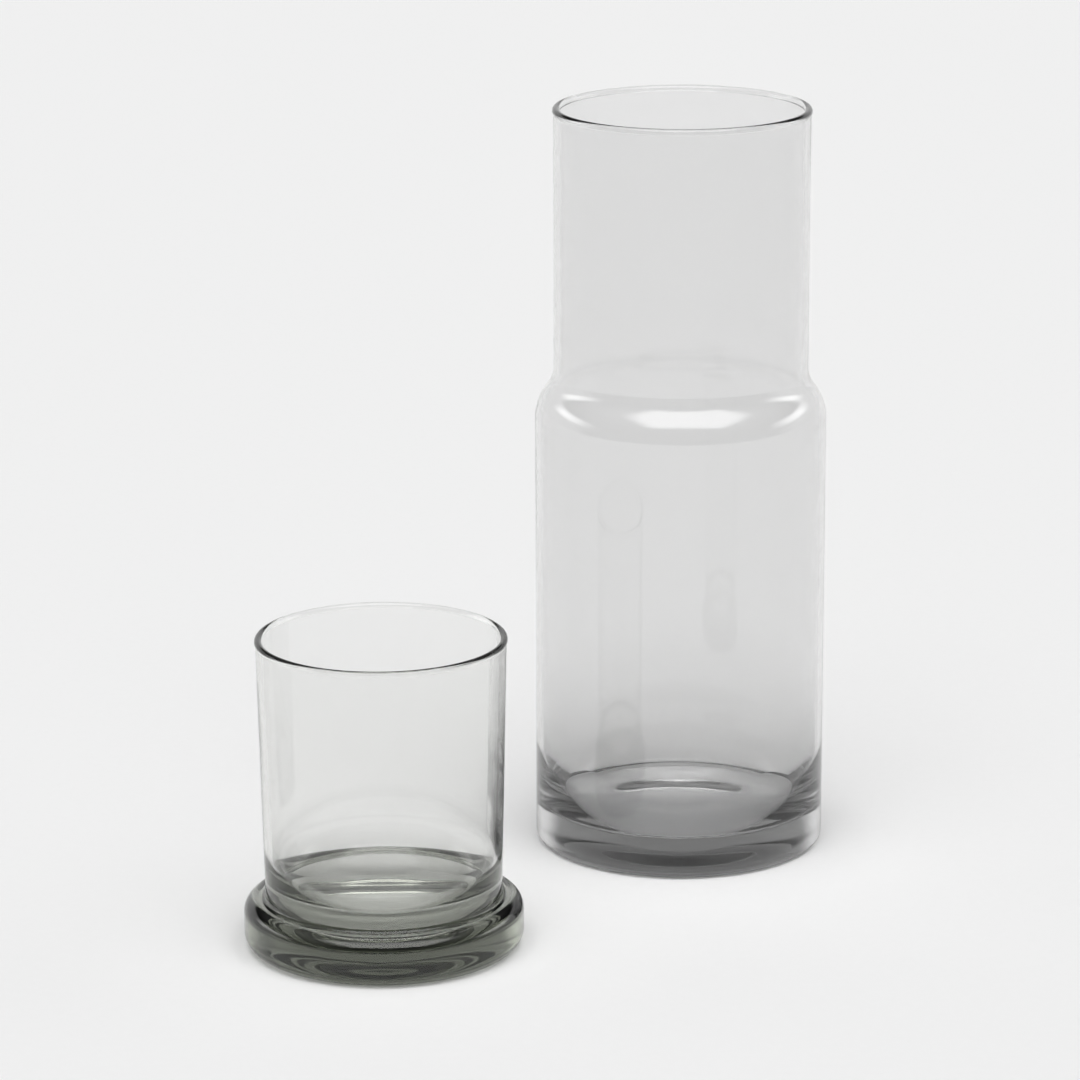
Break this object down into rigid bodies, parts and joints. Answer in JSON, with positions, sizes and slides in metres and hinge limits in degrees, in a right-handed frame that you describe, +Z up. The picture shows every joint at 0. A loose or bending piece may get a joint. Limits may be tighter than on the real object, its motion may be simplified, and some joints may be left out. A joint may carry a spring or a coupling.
{
  "type": "glass carafe with tumbler",
  "caption": "Smoke-grey glass carafe with a straight neck, and a footed tumbler that turns over to close it like a lid.",
  "frame": {"origin": "middle of the footprint of the pair, on the table that both pieces stand on", "axes": "+Z up along both pieces' axes, +X to the right and +Y away from the viewer as in the picture, so the tumbler stands to the left of the carafe and in front of it"},
  "size_m": [0.1764, 0.1848, 0.2325],
  "materials": {
    "carafe_glass": "clear smoke-grey soda-lime glass, blown in a mould, fire-polished rim",
    "tumbler_glass": "clear smoke-grey soda-lime glass, blown bowl on a pressed foot, fire-polished rim"
  },
  "bodies": {
    "carafe": {"carafe": "carafe_glass"},
    "tumbler": {"tumbler": "tumbler_glass"}
  },
  "joints": [
    {"name": "tumbler_lift", "type": "slide", "parent": "carafe", "child": "tumbler", "axis": [0, 0, 1], "range_m": [0, 0.24]}
  ]
}
